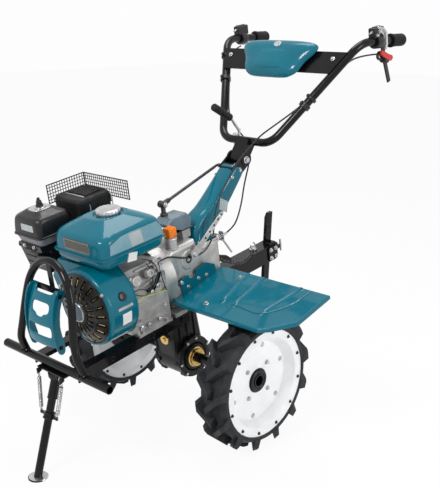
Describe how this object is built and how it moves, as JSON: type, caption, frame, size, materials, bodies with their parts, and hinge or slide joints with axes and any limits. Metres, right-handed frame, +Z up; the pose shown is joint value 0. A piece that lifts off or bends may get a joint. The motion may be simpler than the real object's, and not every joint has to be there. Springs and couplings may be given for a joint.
{
  "type": "walk-behind rotary tiller",
  "caption": "Walk-behind two-wheel tiller: petrol engine on a rail frame, gearbox between lugged drive wheels, fenders, folding front stand and tilting handlebar.",
  "frame": {"origin": "on the floor under the middle of the length and width of the machine as parked", "axes": "+X forward towards the engine and the front stand, +Y to the left, +Z up"},
  "size_m": [1.2711, 0.932, 1.1603],
  "materials": {
    "tyre": "matte moulded rubber",
    "rim_paint": "satin paint",
    "black_paint": "semi-gloss paint",
    "teal_paint": "gloss paint",
    "teal_plastic": "gloss moulding",
    "cast_alloy": "sand-cast",
    "case_iron": "painted casting",
    "brass_part": "machined",
    "orange_plastic": "moulded",
    "steel": "zinc plated",
    "black_plastic": "fine grain",
    "grey_plastic": "fine grain",
    "blue_grey_metal": "satin",
    "grip_rubber": "ribbed",
    "hot_metal": "heat-proof paint"
  },
  "bodies": {
    "root": {"air_cleaner": "black_plastic", "axle_gearcase": "case_iron", "axle_seals": "brass_part", "bumper_hoop": "black_paint", "carburettor": "cast_alloy", "column": "teal_paint", "column_head": "black_paint", "cylinder_head": "cast_alloy", "depth_stake": "black_paint", "engine_crankcase": "cast_alloy", "engine_rails": "black_paint", "fan_housing": "teal_paint", "fender_left": "teal_paint", "fender_right": "teal_paint", "front_crossbar": "black_paint", "front_guard": "teal_paint", "fuel_cap": "steel", "fuel_tank": "teal_paint", "gear_housing": "cast_alloy", "hitch_bracket": "black_paint", "intake_duct": "grey_plastic", "muffler": "hot_metal", "muffler_cage": "hot_metal", "oil_filler_cap": "orange_plastic", "recoil_cover": "black_plastic", "selector_cover": "blue_grey_metal", "shift_linkage": "steel", "stand_bracket": "black_paint"},
    "wheel_left": {"rim_left": "rim_paint", "tyre_left": "tyre", "hub_left": "black_paint"},
    "wheel_right": {"rim_right": "rim_paint", "tyre_right": "tyre", "hub_right": "black_paint"},
    "front_stand": {"stand_leg": "black_paint", "stand_springs": "steel"},
    "handlebar": {"handlebar_tube": "black_paint", "handlebar_socket": "black_paint", "grips": "grip_rubber", "hand_levers": "black_plastic", "stop_switch": "black_plastic", "cross_plate": "black_paint", "dash_cover": "teal_plastic", "gear_lever": "steel", "control_cables": "black_plastic"}
  },
  "joints": [
    {"name": "wheel_left_spin", "type": "hinge", "parent": "root", "child": "wheel_left", "pos_m": [0.06324, 0, 0.2], "axis": [0, 1, 0], "continuous": true},
    {"name": "wheel_right_spin", "type": "hinge", "parent": "root", "child": "wheel_right", "pos_m": [0.06324, 0, 0.2], "axis": [0, 1, 0], "continuous": true},
    {"name": "front_stand_fold", "type": "hinge", "parent": "root", "child": "front_stand", "pos_m": [0.53288, 0, 0.26939], "axis": [0, 1, 0], "range_deg": [0, 100], "deforming": ["stand_springs"]},
    {"name": "handlebar_tilt", "type": "hinge", "parent": "root", "child": "handlebar", "pos_m": [-0.1853, 0, 0.76585], "axis": [0, 1, 0], "range_deg": [-20, 20], "deforming": ["control_cables"]}
  ]
}
